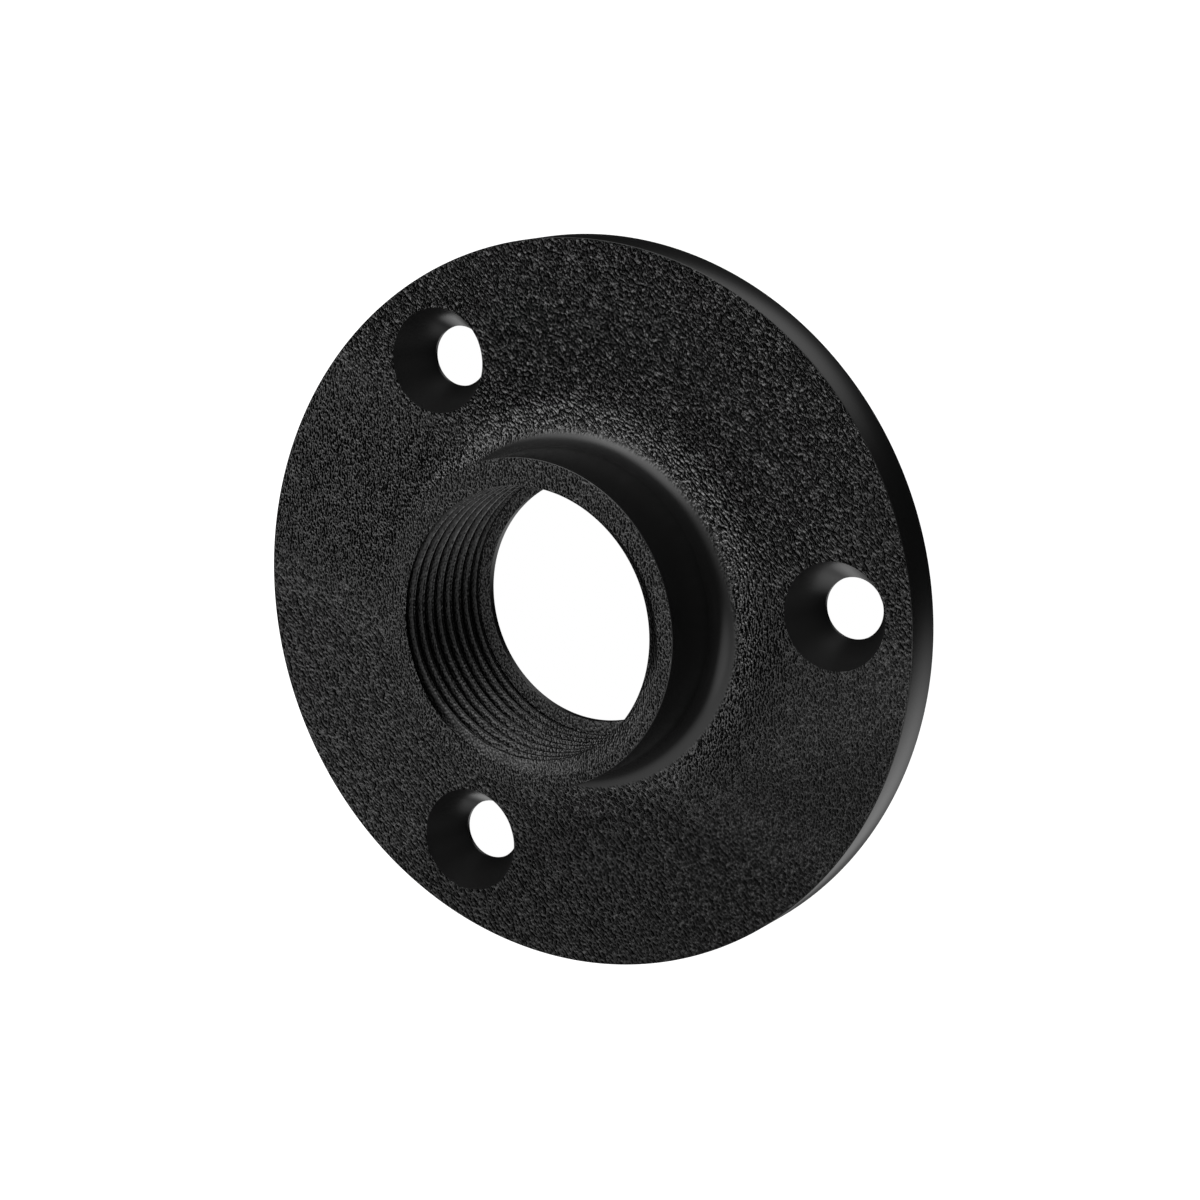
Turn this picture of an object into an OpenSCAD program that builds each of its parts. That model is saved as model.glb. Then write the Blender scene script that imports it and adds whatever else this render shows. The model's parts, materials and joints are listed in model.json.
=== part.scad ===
// Threaded floor flange: a round cast flange with a short hub in its middle.
// A pipe screws into the hub, and countersunk screws hold the flange down.
// The back face lies at z = 0, and the hub's axis is Z.

/* [Flange] */
// Outer diameter of the flange
flange_d = 80; // [72:0.5:120]
// Thickness of the flange
flange_t = 5.3; // [4:0.1:10]
// Round on both edges of the rim
rim_round = 0.15; // [0.05:0.05:1.5]

/* [Hub] */
// Height of the hub's ring face above the back face
hub_h = 16; // [10:0.5:40]
// Wall left between the thread's roots and the outside of the hub
hub_wall = 1.15; // [1:0.05:5]
// Fillet between the hub and the flange's face
fillet_r = 3; // [0.5:0.1:5]
// Round on the outer edge of the ring face
ring_round = 0.15; // [0.05:0.05:0.8]

/* [Pipe socket] */
// Outer diameter of the pipe, over its thread
pipe_d = 33.4; // [20:0.1:42]
// Depth of the thread, from its crests to its roots
thread_depth = 1.9; // [0.8:0.05:2.5]
// How far the lip that stops the pipe stands in from the thread's crests
lip_step = 1.2; // [0.4:0.1:4]
// Thickness of that lip, at the back face
lip_t = 0.8; // [0.5:0.1:3]

/* [Screw holes] */
// Number of screw holes
hole_count = 3; // [3:1:6]
// Distance from the rim to the centre of each hole
hole_inset = 8.85; // [7:0.05:12]
// Diameter of the straight hole
hole_d = 6.7; // [4:0.1:9]
// Diameter of the countersink at the flange's face
countersink_d = 11.6; // [9:0.1:15]
// Length of the straight hole, at the back face
land_t = 0.4; // [0.2:0.1:3]

/* [Hidden] */
socket_d = pipe_d - 2 * thread_depth;
lip_d = socket_d - 2 * lip_step;
hub_d = pipe_d + 2 * hub_wall;
hole_circle_d = flange_d - 2 * hole_inset;
// Widening of the countersink for each millimetre of its depth
countersink_slope = (countersink_d - hole_d) / (flange_t - land_t);
// How far a cut or a web runs past the face that it meets
past = 1;
$fn = 96;

// The waste outside a round of radius r, on a corner at the origin with the metal below and to the left
module corner_waste(r) {
    translate([-r, -r])
        difference() {
            square(r + past);
            circle(r);
        }
}

// The web of the fillet, in the inner corner between the hub's wall and the flange's face
module fillet_web() {
    translate([hub_d / 2, flange_t])
        difference() {
            translate([-past, -past]) square(fillet_r + past);
            translate([fillet_r, fillet_r]) circle(fillet_r);
        }
}

// Half section of the casting before it is bored, from the axis to the rim
module half_section() {
    difference() {
        union() {
            square([flange_d / 2, flange_t]);
            square([hub_d / 2, hub_h]);
            fillet_web();
        }
        translate([flange_d / 2, flange_t]) corner_waste(rim_round);
        translate([flange_d / 2, 0]) mirror([0, 1]) corner_waste(rim_round);
        translate([hub_d / 2, hub_h]) corner_waste(ring_round);
    }
}

// The stepped bore: tapping size from the ring face down to the lip, then the smaller hole through the lip
module pipe_bore() {
    translate([0, 0, lip_t]) cylinder(h = hub_h - lip_t + past, d = socket_d);
    translate([0, 0, -past]) cylinder(h = lip_t + 2 * past, d = lip_d);
}

// One countersunk hole: a straight land at the back face, then a cone that opens to the flange's face
module screw_hole() {
    cone_h = flange_t - land_t + past;
    translate([0, 0, -past]) cylinder(h = land_t + 2 * past, d = hole_d);
    translate([0, 0, land_t]) cylinder(h = cone_h, d1 = hole_d, d2 = hole_d + cone_h * countersink_slope);
}

// The whole casting
module flange() {
    color("#1b1b1c")
        difference() {
            rotate_extrude() half_section();
            pipe_bore();
            for (i = [0 : hole_count - 1])
                rotate(i * 360 / hole_count)
                    translate([hole_circle_d / 2, 0, 0])
                        screw_hole();
        }
}

flange();
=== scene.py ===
"""Threaded floor flange: a black casting with a pebbled face, a tapped hub and three countersunk holes."""
import json
import math

import bmesh
import bpy
from mathutils import Matrix, Vector, noise


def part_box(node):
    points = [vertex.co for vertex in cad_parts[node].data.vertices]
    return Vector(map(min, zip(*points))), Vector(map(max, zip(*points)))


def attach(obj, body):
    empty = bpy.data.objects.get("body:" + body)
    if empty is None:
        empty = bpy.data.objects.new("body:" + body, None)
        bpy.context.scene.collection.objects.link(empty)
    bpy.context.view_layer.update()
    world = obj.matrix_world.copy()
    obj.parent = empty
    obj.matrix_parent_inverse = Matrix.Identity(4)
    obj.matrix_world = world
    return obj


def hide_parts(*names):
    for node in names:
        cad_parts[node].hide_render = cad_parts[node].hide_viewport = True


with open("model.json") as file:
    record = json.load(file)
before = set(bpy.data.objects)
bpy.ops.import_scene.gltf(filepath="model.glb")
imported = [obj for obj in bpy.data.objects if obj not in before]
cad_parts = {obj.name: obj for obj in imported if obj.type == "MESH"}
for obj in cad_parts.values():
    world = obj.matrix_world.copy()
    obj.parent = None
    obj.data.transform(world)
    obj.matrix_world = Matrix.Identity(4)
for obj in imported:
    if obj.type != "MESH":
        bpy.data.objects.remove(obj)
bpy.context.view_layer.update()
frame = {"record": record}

MM = 0.001
FULL_TURN = 2 * math.pi
AXIS = Vector((0, 0, 1))
CENTRE = (0, 0, 0)
WHITE = (1, 1, 1, 1)

# Sizes that the frame gives
flange_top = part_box("flange")[1]
mounts = {mount["name"]: mount["dims"] for mount in frame["record"]["mounts"]}
FLANGE_R = flange_top.x
HUB_H = flange_top.z
CREST_R = mounts["pipe_socket"]["r_mm"] * MM
LIP_T = HUB_H - mounts["pipe_socket"]["length_mm"] * MM
HOLE_CIRCLE_R = mounts["screw_holes"]["pcd_mm"] / 2 * MM
HOLE_COUNT = mounts["screw_holes"]["count"]
HOLE_R = mounts["screw_holes"]["hole_r_mm"] * MM

# Sizes of the casting that the frame doesn't name
FLANGE_T = 5.3 * MM
RIM_ROUND = 0.15 * MM
HUB_R = 17.85 * MM
FILLET_R = 3.0 * MM
FOOT_R = HUB_R + FILLET_R
RING_ROUND = 0.15 * MM
LIP_R = 13.6 * MM
COUNTERSINK_R = 5.8 * MM
LAND_T = 0.4 * MM

# The pipe thread
ROOT_R = 16.72 * MM
PITCH = 1.84 * MM
CREST_FLAT = 0.5 * MM
CREST_ROUND = 0.2 * MM
ROOT_FLAT = 0.08 * MM
THREAD_START = math.radians(312)
SEAM = 0.2 * MM

# How fine the mesh is
WEDGES = 12
WEDGE_STEPS = 50
THREAD_STEPS = 160
HOLE_STEPS = 96
FACE_RINGS = 80
CREST_SEGMENTS = 2
ROUND_SEGMENTS = 3
FILLET_SEGMENTS = 12
WELD = 1e-6
ON_PLANE = 1e-5
SHARP_ANGLE = math.radians(20)
PAST = 1 * MM

# Low unevenness of the cast face, in the mesh
UNEVEN_SIZE = 1.1 * MM
UNEVEN_DEPTH = 0.035 * MM

# Lumps of the cast skin: pebbles at both ends of the coarse line, fine grain between them
PEBBLE_SIZE = 0.26 * MM
PEBBLE_LINE = math.radians(-50)
GRAIN_SIZE = 0.21 * MM
GRAIN_LINE = math.radians(90)
STRETCH = 1.4
PIT_LEVEL = 0.36
CREST_LEVEL = 0.58
COARSE_LINE = math.radians(65)
COARSE_FROM = 0.15 * FLANGE_R
COARSE_TO = 0.45 * FLANGE_R
SHALLOW_END = -0.5 * FLANGE_R

# Depth of the lumps, in all and as a share of it
PEBBLE_DEPTH = 0.75 * MM
GRAIN_DEPTH = 0.3 * MM
CALM_DEPTH = 0.6
FOOT_DEPTH = 0.65
FOOT_DEPTH_REACH = 5.0 * MM

# Parts of the face where the skin is calm, or darker, along a line from the axis
CALM_LINE = math.radians(-30)
CALM_FROM = 0.4 * FLANGE_R
CALM_TO = 0.75 * FLANGE_R
DARKER_LINE = math.radians(-75)
DARKER_FROM = 0.45 * FLANGE_R
DARKER_TO = 0.65 * FLANGE_R

# How much of the skin there is on the ring face, in the thread and on a slope
RING_SKIN = 0.8
THREAD_SKIN = 0.3
ROUGH_THREAD_SKIN = 0.45
# The rough side of the thread is also the side the key light falls on; its grooves get less painted shade
# there
ROUGH_LIT_THREAD_LINE = math.radians(-75)
ROUGH_LIT_THREAD_FROM = 0.3 * CREST_R
ROUGH_LIT_THREAD_TO = 0.9 * CREST_R
STEEPEST_SKIN = 0.75
FULL_SKIN = 0.97
SMOOTH_STEEPEST_SKIN = 0.93
SMOOTH_FULL_SKIN = 0.995
SMOOTH_LINE = math.radians(-65)
SMOOTH_TO = 0.4 * FLANGE_R
CUT_EDGE = 0.03 * MM

# The black finish: how much light it sends back, with painted shade that darkens the pits of the skin
WALL_SHINE = 0.053
CREST_SHINE = 0.07
CALM_CREST_SHINE = 0.046
PEBBLE_PIT_SHADED_SHINE = 0.02
GRAIN_PIT_SHADED_SHINE = 0.003
CALM_PIT_SHADED_SHINE = 0.014

# Painted light and shade: painted light round the hub's foot and on the lip, painted shade in the thread's
# grooves, and two sides of the face darker
DARKER_SHINE = 0.7
SHALLOW_SHINE = 0.72
FOOT_PAINTED_LIGHT = 1.75
SHALLOW_FOOT_PAINTED_LIGHT = 1.2
FOOT_REACH = 3.0 * MM
LIP_PAINTED_LIGHT = 2.8
GROOVE_PAINTED_SHADE = 0.1
GROOVE_START = CREST_R + 0.1 * MM
ROUGH_GROOVE_START = CREST_R + 0.3 * MM
GROOVE_FADE = 0.5 * MM
FIRST_TURN_FROM = HUB_H - 1.2 * PITCH
FIRST_TURN_TO = HUB_H - 0.7 * PITCH

# How metallic and how rough the finish is
WALL_METAL = 0.85
SKIN_METAL = 1.0
# The lip is less metallic, which goes with the painted light on it
LIP_METAL = 0.2
WALL_ROUGHNESS = 0.28
SKIN_ROUGHNESS = 0.26

# Camera: it looks down on the flange, and the picture's up lies over a line on the floor
CAMERA_AZIMUTH = math.radians(18.05)
CAMERA_ELEVATION = math.radians(58.36)
CAMERA_DISTANCE = 341.98 * MM
PICTURE_UP = math.radians(91.75)
AIM_RIGHT = 0.11 * MM
AIM_DOWN = 0.10 * MM
LENS = 93.33
SENSOR_WIDTH = 36
NEAREST_SEEN = 10 * MM

# The floor lies just under the back face and is open under the flange, so that the back can be seen
FLOOR_GAP = 0.05 * MM
FLOOR_LAP = 1 * MM
FLOOR_R = 3
FLOOR_TONE = (0.3, 0.3, 0.3, 1)
FLOOR_GLOW = 1.0

# Soft patches of light on the tent round the flange: azimuth, elevation and reach in degrees, and brightness
SOFT_PATCHES = {
    "key": (118, 27.5, 33, 2.12),
    "key side": (82, 33, 33, 1.8),
    "key top": (65, 59, 52, 0.68),
    "face": (-176, 50, 25, 3.2),
    "right": (-35, 30, 25, 1.05),
    "right top": (-94, 46, 50, 0.98),
    "right low": (-72, -43, 36, 1.25),
    "key low": (73, -41, 30, 1.14),
    "left low": (-134, -30, 25, 0.95),
}


def to_mesh(bm, name):
    mesh = bpy.data.meshes.new(name)
    bm.to_mesh(mesh)
    bm.free()
    return mesh


def new_object(name, data):
    piece = bpy.data.objects.new(name, data)
    bpy.context.scene.collection.objects.link(piece)
    return piece


def everything(bm):
    return bm.verts[:] + bm.edges[:] + bm.faces[:]


def lies_at(edge, height):
    return all(abs(vert.co.z - height) < ON_PLANE for vert in edge.verts)


def outline(bm, points):
    """An open chain of vertices and edges in the XZ plane, through (radius, height) points."""
    verts = [bm.verts.new((radius, 0, height)) for radius, height in points]
    for pair in zip(verts, verts[1:]):
        bm.edges.new(pair)
    return verts


def round_corners(bm, corners, radius, segments):
    bmesh.ops.bevel(
        bm, geom=corners, affect="VERTICES", offset=radius, offset_type="OFFSET",
        segments=segments, profile=0.5, material=-1,
    )


def weld(bm):
    bmesh.ops.remove_doubles(bm, verts=bm.verts, dist=WELD)


def revolve(bm, steps):
    """Turns the outline that bm holds right round the axis."""
    bmesh.ops.spin(
        bm, geom=everything(bm), cent=CENTRE, axis=AXIS, angle=FULL_TURN, steps=steps, use_merge=True,
    )
    weld(bm)


def revolve_in_wedges(bm):
    """Turns the outline that bm holds into a fine ring: one wedge first, then copies of it all round."""
    wedge = FULL_TURN / WEDGES
    bmesh.ops.spin(bm, geom=everything(bm), cent=CENTRE, axis=AXIS, angle=wedge, steps=WEDGE_STEPS)
    bmesh.ops.spin(
        bm, geom=everything(bm), cent=CENTRE, axis=AXIS, angle=FULL_TURN, steps=WEDGES,
        use_merge=True, use_duplicate=True,
    )
    weld(bm)


def thread_wall():
    """The helical wall of the pipe thread, cut off at the lip and at the ring face."""
    bm = bmesh.new()
    flank = (PITCH - CREST_FLAT - ROOT_FLAT) / 2
    turns = math.ceil(HUB_H / PITCH) + 2
    root_at_zero = HUB_H - PITCH * THREAD_START / FULL_TURN
    points = []
    for turn in range(-turns, 2):
        root = root_at_zero + turn * PITCH
        root_end = root + ROOT_FLAT / 2
        points += [
            (ROOT_R, root - ROOT_FLAT / 2),
            (ROOT_R, root_end),
            (CREST_R, root_end + flank),
            (CREST_R, root_end + flank + CREST_FLAT),
        ]
    crests = [vert for vert in outline(bm, points) if vert.co.x < CREST_R + ON_PLANE]
    round_corners(bm, crests, CREST_ROUND, CREST_SEGMENTS)
    bmesh.ops.spin(
        bm, geom=everything(bm), cent=CENTRE, axis=AXIS, dvec=(0, 0, PITCH / THREAD_STEPS),
        angle=FULL_TURN, steps=THREAD_STEPS,
    )
    weld(bm)
    for height, side in ((HUB_H, 1), (LIP_T, -1)):
        bmesh.ops.bisect_plane(
            bm, geom=everything(bm), dist=WELD, plane_co=(0, 0, height), plane_no=(0, 0, side),
            clear_outer=True,
        )
    return to_mesh(bm, "thread")


def outer_shell():
    """Everything but the thread: lip, back, rim, face, fillet, hub wall and the edge of the ring face."""
    bm = bmesh.new()
    verts = outline(bm, [
        (CREST_R - SEAM, LIP_T),
        (LIP_R, LIP_T),
        (LIP_R, 0),
        (FLANGE_R, 0),
        (FLANGE_R, FLANGE_T),
        (HUB_R, FLANGE_T),
        (HUB_R, HUB_H),
        (ROOT_R + SEAM, HUB_H),
    ])
    back_edge, face_edge, hub_foot, ring_edge = verts[3:7]
    round_corners(bm, [back_edge], RIM_ROUND, ROUND_SEGMENTS)
    round_corners(bm, [face_edge], RIM_ROUND, ROUND_SEGMENTS)
    round_corners(bm, [hub_foot], FILLET_R, FILLET_SEGMENTS)
    round_corners(bm, [ring_edge], RING_ROUND, ROUND_SEGMENTS)
    face_line = [edge for edge in bm.edges if lies_at(edge, FLANGE_T)]
    bmesh.ops.subdivide_edges(bm, edges=face_line, cuts=FACE_RINGS)
    revolve_in_wedges(bm)
    return to_mesh(bm, "shell")


def fill_seam(bm, height):
    """Fills the flat ring between the thread's open end and the shell's open edge."""
    rims = [edge for edge in bm.edges if edge.is_boundary and lies_at(edge, height)]
    bmesh.ops.triangle_fill(bm, use_beauty=True, edges=rims, normal=AXIS)


def casting_mesh():
    """The casting before its screw holes are drilled, as one closed mesh."""
    bm = bmesh.new()
    for part in (thread_wall(), outer_shell()):
        bm.from_mesh(part)
        bpy.data.meshes.remove(part)
    fill_seam(bm, HUB_H)
    fill_seam(bm, LIP_T)
    bmesh.ops.recalc_face_normals(bm, faces=bm.faces)
    return to_mesh(bm, "flange_casting")


def drill_mesh():
    """The countersinking drill, once for each screw hole."""
    bm = bmesh.new()
    slope = (COUNTERSINK_R - HOLE_R) / (FLANGE_T - LAND_T)
    outline(bm, [
        (0, -PAST),
        (HOLE_R, -PAST),
        (HOLE_R, LAND_T),
        (COUNTERSINK_R + slope * PAST, FLANGE_T + PAST),
        (0, FLANGE_T + PAST),
    ])
    revolve(bm, HOLE_STEPS)
    bmesh.ops.recalc_face_normals(bm, faces=bm.faces)
    bmesh.ops.translate(bm, verts=bm.verts, vec=(HOLE_CIRCLE_R, 0, 0))
    first = everything(bm)
    for hole in range(1, HOLE_COUNT):
        copy = bmesh.ops.duplicate(bm, geom=first)["geom"]
        turned = [item for item in copy if isinstance(item, bmesh.types.BMVert)]
        turn = Matrix.Rotation(FULL_TURN * hole / HOLE_COUNT, 3, "Z")
        bmesh.ops.rotate(bm, verts=turned, cent=CENTRE, matrix=turn)
    return to_mesh(bm, "screw_hole_drill")


def drilled(piece, drill):
    """Takes the drill away from the piece, for good."""
    cut = piece.modifiers.new("screw_holes", "BOOLEAN")
    cut.object = drill
    cut.operation = "DIFFERENCE"
    cut.solver = "EXACT"
    graph = bpy.context.evaluated_depsgraph_get()
    mesh = bpy.data.meshes.new_from_object(piece.evaluated_get(graph))
    piece.modifiers.remove(cut)
    plain = piece.data
    piece.data = mesh
    bpy.data.meshes.remove(plain)
    bpy.data.objects.remove(drill)
    return piece


def roughen(mesh):
    """Gives the flange's face the low unevenness of a sand casting. It dies out at the fillet and the rim."""
    outer = FLANGE_R - RIM_ROUND
    for vert in mesh.vertices:
        radius = vert.co.xy.length
        reach = min(radius - FOOT_R, outer - radius) / UNEVEN_SIZE
        if reach > 0 and abs(vert.co.z - FLANGE_T) < ON_PLANE:
            swell = noise.noise(vert.co / UNEVEN_SIZE)
            vert.co.z += UNEVEN_DEPTH * min(reach, 1) * swell


def add_node(tree, kind, inputs, **settings):
    """Adds a node. Each input is a value, or the output that feeds it."""
    node = tree.nodes.new(kind)
    for name, value in settings.items():
        setattr(node, name, value)
    for socket, value in inputs.items():
        if isinstance(value, bpy.types.NodeSocket):
            tree.links.new(value, node.inputs[socket])
        else:
            node.inputs[socket].default_value = value
    return node.outputs


def math_node(tree, operation, *values):
    return add_node(tree, "ShaderNodeMath", dict(enumerate(values)), operation=operation)["Value"]


def times(tree, first, second):
    return math_node(tree, "MULTIPLY", first, second)


def vector_node(tree, operation, *values):
    return add_node(tree, "ShaderNodeVectorMath", dict(enumerate(values)), operation=operation)


def ramp(tree, value, start, end, first=0.0, last=1.0):
    """Goes smoothly from first to last while the value goes from start to end."""
    inputs = {"Value": value, "From Min": start, "From Max": end, "To Min": first, "To Max": last}
    return add_node(tree, "ShaderNodeMapRange", inputs, interpolation_type="SMOOTHSTEP")["Result"]


def eased(tree, share, first, last):
    """Goes smoothly from first to last while the share goes from nothing to one."""
    return ramp(tree, share, 0.0, 1.0, first, last)


def mixed(tree, share, first, last):
    """Goes evenly from first to last while the share goes from nothing to one."""
    return add_node(tree, "ShaderNodeMix", {"Factor": share, "A": first, "B": last})["Result"]


def along_line(tree, place, angle):
    """Distance from the axis along a line at this angle on the floor."""
    return vector_node(tree, "DOT_PRODUCT", place, (math.cos(angle), math.sin(angle), 0))["Value"]


def thread_share(tree, radius, height):
    """One in the thread, nothing on the ring face, the lip and outside."""
    inside = ramp(tree, radius, ROOT_R, ROOT_R + SEAM, 1.0, 0.0)
    below_ring = ramp(tree, height, HUB_H - 2 * CUT_EDGE, HUB_H - CUT_EDGE, 1.0, 0.0)
    above_lip = ramp(tree, height, LIP_T + CUT_EDGE, LIP_T + 2 * CUT_EDGE)
    return times(tree, inside, times(tree, below_ring, above_lip))


def lip_share(tree, radius, height):
    """One on the lip at the bottom of the thread, nothing elsewhere."""
    inside = ramp(tree, radius, CREST_R + SEAM, CREST_R + 2 * SEAM, 1.0, 0.0)
    near_top = ramp(tree, height, LIP_T - 2 * CUT_EDGE, LIP_T - CUT_EDGE)
    below_thread = ramp(tree, height, LIP_T + CUT_EDGE, LIP_T + 2 * CUT_EDGE, 1.0, 0.0)
    return times(tree, inside, times(tree, near_top, below_thread))


def cast_skin_share(tree, place, radius, thread, rough_lit_thread):
    """One where the casting has its rough skin: on flat faces, less in the thread, none on walls.

    On the smooth side of the hub it starts lower down on the fillet.
    """
    normal = add_node(tree, "ShaderNodeNewGeometry", {})["Normal"]
    flatness = math_node(tree, "ABSOLUTE", vector_node(tree, "DOT_PRODUCT", normal, AXIS)["Value"])
    smooth = ramp(tree, along_line(tree, place, SMOOTH_LINE), 0.0, SMOOTH_TO)
    start = eased(tree, smooth, STEEPEST_SKIN, SMOOTH_STEEPEST_SKIN)
    full = eased(tree, smooth, FULL_SKIN, SMOOTH_FULL_SKIN)
    flat = ramp(tree, flatness, start, full)
    off_ring = ramp(tree, radius, HUB_R, HUB_R + RING_ROUND, RING_SKIN, 1.0)
    thread_skin = eased(tree, rough_lit_thread, THREAD_SKIN, ROUGH_THREAD_SKIN)
    return mixed(tree, thread, times(tree, flat, off_ring), thread_skin)


def skin_regions(tree, place, radius):
    """Parts of the face where the skin differs, each as a share from nothing to one."""
    along = along_line(tree, place, COARSE_LINE)
    off_hub = ramp(tree, radius, HUB_R, FOOT_R)
    off_foot = ramp(tree, radius, FOOT_R, FOOT_R + FOOT_REACH)
    near_foot = ramp(tree, radius, FOOT_R, FOOT_R + FOOT_DEPTH_REACH, 1.0, 0.0)
    at_both_ends = ramp(tree, math_node(tree, "ABSOLUTE", along), COARSE_FROM, COARSE_TO)
    at_deep_end = ramp(tree, along, COARSE_FROM, COARSE_TO)
    at_shallow_end = ramp(tree, along, SHALLOW_END, 0.0, 1.0, 0.0)
    deep = times(tree, off_hub, at_deep_end)
    return {
        "coarse": times(tree, off_hub, at_both_ends),
        "deep": deep,
        "deep foot": times(tree, deep, near_foot),
        "shallow": times(tree, off_hub, at_shallow_end),
        "foot": math_node(tree, "SUBTRACT", off_hub, off_foot),
        "calm": ramp(tree, along_line(tree, place, CALM_LINE), CALM_FROM, CALM_TO),
        "darker": ramp(tree, along_line(tree, place, DARKER_LINE), DARKER_FROM, DARKER_TO),
    }


def lumps(tree, place, size, line):
    """Lumps of uneven shape, from nothing to one and mostly about one half, longer along their line."""
    stretched = add_node(
        tree, "ShaderNodeMapping",
        {"Vector": place, "Rotation": (0, 0, line), "Scale": (STRETCH * size, size, size)},
        vector_type="TEXTURE",
    )["Vector"]
    return add_node(tree, "ShaderNodeTexNoise", {"Vector": stretched, "Scale": 1.0, "Detail": 0.0})["Fac"]


def skin_depth(tree, region):
    """How deep the lumps of the skin are."""
    depth = eased(tree, region["deep"], GRAIN_DEPTH, PEBBLE_DEPTH)
    depth = times(tree, depth, eased(tree, region["calm"], 1.0, CALM_DEPTH))
    return times(tree, depth, eased(tree, region["deep foot"], 1.0, FOOT_DEPTH))


def skin_shine(tree, relief, region):
    """How much light the skin sends back: little from its pits, as painted shade, less on two sides of the
    face, and more round the foot of the hub, as painted light.
    """
    shaded_pit_shine = eased(tree, region["coarse"], GRAIN_PIT_SHADED_SHINE, PEBBLE_PIT_SHADED_SHINE)
    shaded_pit_shine = eased(tree, region["calm"], shaded_pit_shine, CALM_PIT_SHADED_SHINE)
    crest_shine = eased(tree, region["calm"], CREST_SHINE, CALM_CREST_SHINE)
    # Painted shade: the skin's pits are darker than its crests
    shine = ramp(tree, relief, PIT_LEVEL, CREST_LEVEL, shaded_pit_shine, crest_shine)
    # Darker along one line on the face and at the shallow end of the coarse line
    shine = times(tree, shine, eased(tree, region["darker"], 1.0, DARKER_SHINE))
    shine = times(tree, shine, eased(tree, region["shallow"], 1.0, SHALLOW_SHINE))
    # Painted light round the foot of the hub, less of it at the shallow end of the coarse line
    foot_painted_light = eased(tree, region["shallow"], FOOT_PAINTED_LIGHT, SHALLOW_FOOT_PAINTED_LIGHT)
    return times(tree, shine, eased(tree, region["foot"], 1.0, foot_painted_light))


def painted_thread_shade(tree, radius, height, rough_lit_thread):
    """Painted shade in the thread, darker from its crests to its roots. Its first turn gets none on the rough
    side, where the key light falls.
    """
    start = eased(tree, rough_lit_thread, GROOVE_START, ROUGH_GROOVE_START)
    end = math_node(tree, "ADD", start, GROOVE_FADE)
    first_turn = ramp(tree, height, FIRST_TURN_FROM, FIRST_TURN_TO)
    key_lit_first_turn = times(tree, first_turn, rough_lit_thread)
    return ramp(tree, radius, start, end, 1.0, eased(tree, key_lit_first_turn, GROOVE_PAINTED_SHADE, 1.0))


def black_iron():
    """Black finish on cast iron: rough skin on the cast faces, satin on the walls and in the screw holes."""
    material = bpy.data.materials.new("black_iron")
    material.use_nodes = True
    tree = material.node_tree
    place = add_node(tree, "ShaderNodeTexCoord", {})["Object"]
    radius = vector_node(tree, "LENGTH", vector_node(tree, "MULTIPLY", place, (1, 1, 0))["Vector"])["Value"]
    height = vector_node(tree, "DOT_PRODUCT", place, AXIS)["Value"]

    thread = thread_share(tree, radius, height)
    lip = lip_share(tree, radius, height)
    rough_lit_thread = ramp(tree, along_line(tree, place, ROUGH_LIT_THREAD_LINE), ROUGH_LIT_THREAD_FROM, ROUGH_LIT_THREAD_TO)
    skin = cast_skin_share(tree, place, radius, thread, rough_lit_thread)
    region = skin_regions(tree, place, radius)

    grain = lumps(tree, place, GRAIN_SIZE, GRAIN_LINE)
    pebbles = lumps(tree, place, PEBBLE_SIZE, PEBBLE_LINE)
    relief = mixed(tree, region["coarse"], grain, pebbles)
    bump = {"Height": relief, "Strength": skin, "Distance": skin_depth(tree, region)}
    # The skin's shine holds painted shade in its pits and painted light round the hub's foot
    shine = mixed(tree, skin, WALL_SHINE, skin_shine(tree, relief, region))
    # Painted shade in the thread's grooves
    groove_painted_shade = mixed(tree, thread, 1.0, painted_thread_shade(tree, radius, height, rough_lit_thread))
    # Painted light on the lip, which lies deep in the bore's shade
    painted_lip_light = eased(tree, lip, 1.0, LIP_PAINTED_LIGHT)
    metal = eased(tree, skin, WALL_METAL, SKIN_METAL)
    finish = {
        "Normal": add_node(tree, "ShaderNodeBump", bump)["Normal"],
        "Base Color": times(tree, shine, times(tree, groove_painted_shade, painted_lip_light)),
        "Roughness": eased(tree, skin, WALL_ROUGHNESS, SKIN_ROUGHNESS),
        "Metallic": mixed(tree, lip, metal, LIP_METAL),
    }
    shader = tree.nodes["Principled BSDF"]
    for socket, value in finish.items():
        tree.links.new(value, shader.inputs[socket])
    shader.inputs["Specular IOR Level"].default_value = 0.0
    return material


def place_camera():
    camera = new_object("camera", bpy.data.cameras.new("camera"))
    camera.data.lens = LENS
    camera.data.sensor_width = SENSOR_WIDTH
    camera.data.clip_start = NEAREST_SEEN
    back = Vector((
        math.cos(CAMERA_ELEVATION) * math.cos(CAMERA_AZIMUTH),
        math.cos(CAMERA_ELEVATION) * math.sin(CAMERA_AZIMUTH),
        math.sin(CAMERA_ELEVATION),
    ))
    over = Vector((math.cos(PICTURE_UP), math.sin(PICTURE_UP), 0))
    up = (over * back.z - AXIS * over.dot(back)).normalized()
    right = up.cross(back)
    turn = Matrix((right, up, back)).transposed().to_4x4()
    aim = right * AIM_RIGHT - up * AIM_DOWN
    camera.matrix_world = Matrix.Translation(aim + back * CAMERA_DISTANCE) @ turn
    return camera


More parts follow.
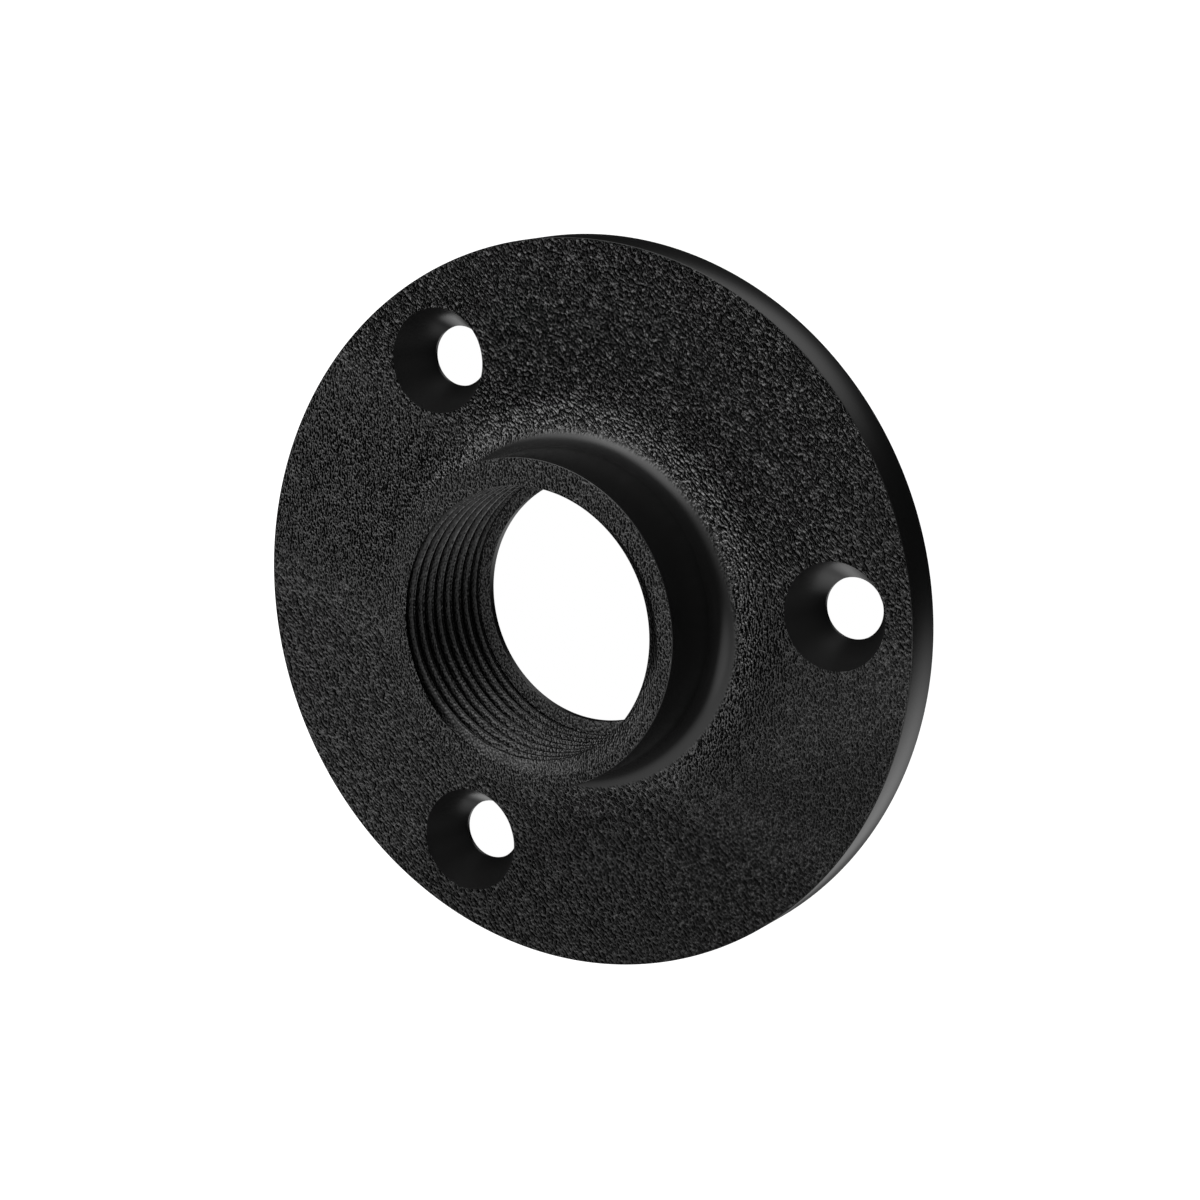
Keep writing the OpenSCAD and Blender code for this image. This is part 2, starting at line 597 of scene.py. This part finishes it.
def pale_floor():
    """A plain white floor, which lights nothing and is in no reflection."""
    bm = bmesh.new()
    outline(bm, [(FLANGE_R - FLOOR_LAP, -FLOOR_GAP), (FLOOR_R, -FLOOR_GAP)])
    revolve(bm, HOLE_STEPS)
    floor = new_object("floor", to_mesh(bm, "floor"))
    material = bpy.data.materials.new("pale_floor")
    material.use_nodes = True
    shader = material.node_tree.nodes["Principled BSDF"]
    shader.inputs["Base Color"].default_value = FLOOR_TONE
    shader.inputs["Emission Color"].default_value = WHITE
    shader.inputs["Emission Strength"].default_value = FLOOR_GLOW
    floor.data.materials.append(material)
    floor.visible_diffuse = False
    floor.visible_glossy = False
    floor.visible_shadow = False
    return floor


def soft_patch(tree, direction, azimuth, elevation, reach, brightness):
    """A round patch of light that is brightest in its middle and dies out smoothly."""
    level = math.cos(math.radians(elevation))
    middle = (
        level * math.cos(math.radians(azimuth)),
        level * math.sin(math.radians(azimuth)),
        math.sin(math.radians(elevation)),
    )
    nearness = vector_node(tree, "DOT_PRODUCT", direction, middle)["Value"]
    return ramp(tree, nearness, math.cos(math.radians(reach)), 1.0, 0.0, brightness)


def light_tent():
    """Soft light from all sides but the camera's. The camera itself sees plain white round the floor."""
    world = bpy.data.worlds.new("light_tent")
    world.use_nodes = True
    tree = world.node_tree
    direction = add_node(tree, "ShaderNodeTexCoord", {})["Generated"]
    light = 0.0
    for patch in SOFT_PATCHES.values():
        light = math_node(tree, "ADD", soft_patch(tree, direction, *patch), light)
    tent = tree.nodes["Background"]
    tree.links.new(light, tent.inputs["Strength"])
    tent.inputs["Color"].default_value = WHITE
    white = add_node(tree, "ShaderNodeBackground", {"Color": WHITE, "Strength": 1.0})["Background"]
    seen = add_node(tree, "ShaderNodeLightPath", {})["Is Camera Ray"]
    choice = {0: seen, 1: tent.outputs["Background"], 2: white}
    either = add_node(tree, "ShaderNodeMixShader", choice)["Shader"]
    tree.links.new(either, tree.nodes["World Output"].inputs["Surface"])
    return world


flange = drilled(new_object("flange_casting", casting_mesh()), new_object("drill", drill_mesh()))
flange.data.shade_smooth()
flange.data.set_sharp_from_angle(angle=SHARP_ANGLE)
roughen(flange.data)
flange.data.materials.clear()
flange.data.materials.append(black_iron())
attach(flange, "root")
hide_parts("flange")

pale_floor()
bpy.context.scene.camera = place_camera()
bpy.context.scene.world = light_tent()
bpy.context.scene.view_settings.view_transform = "Standard"
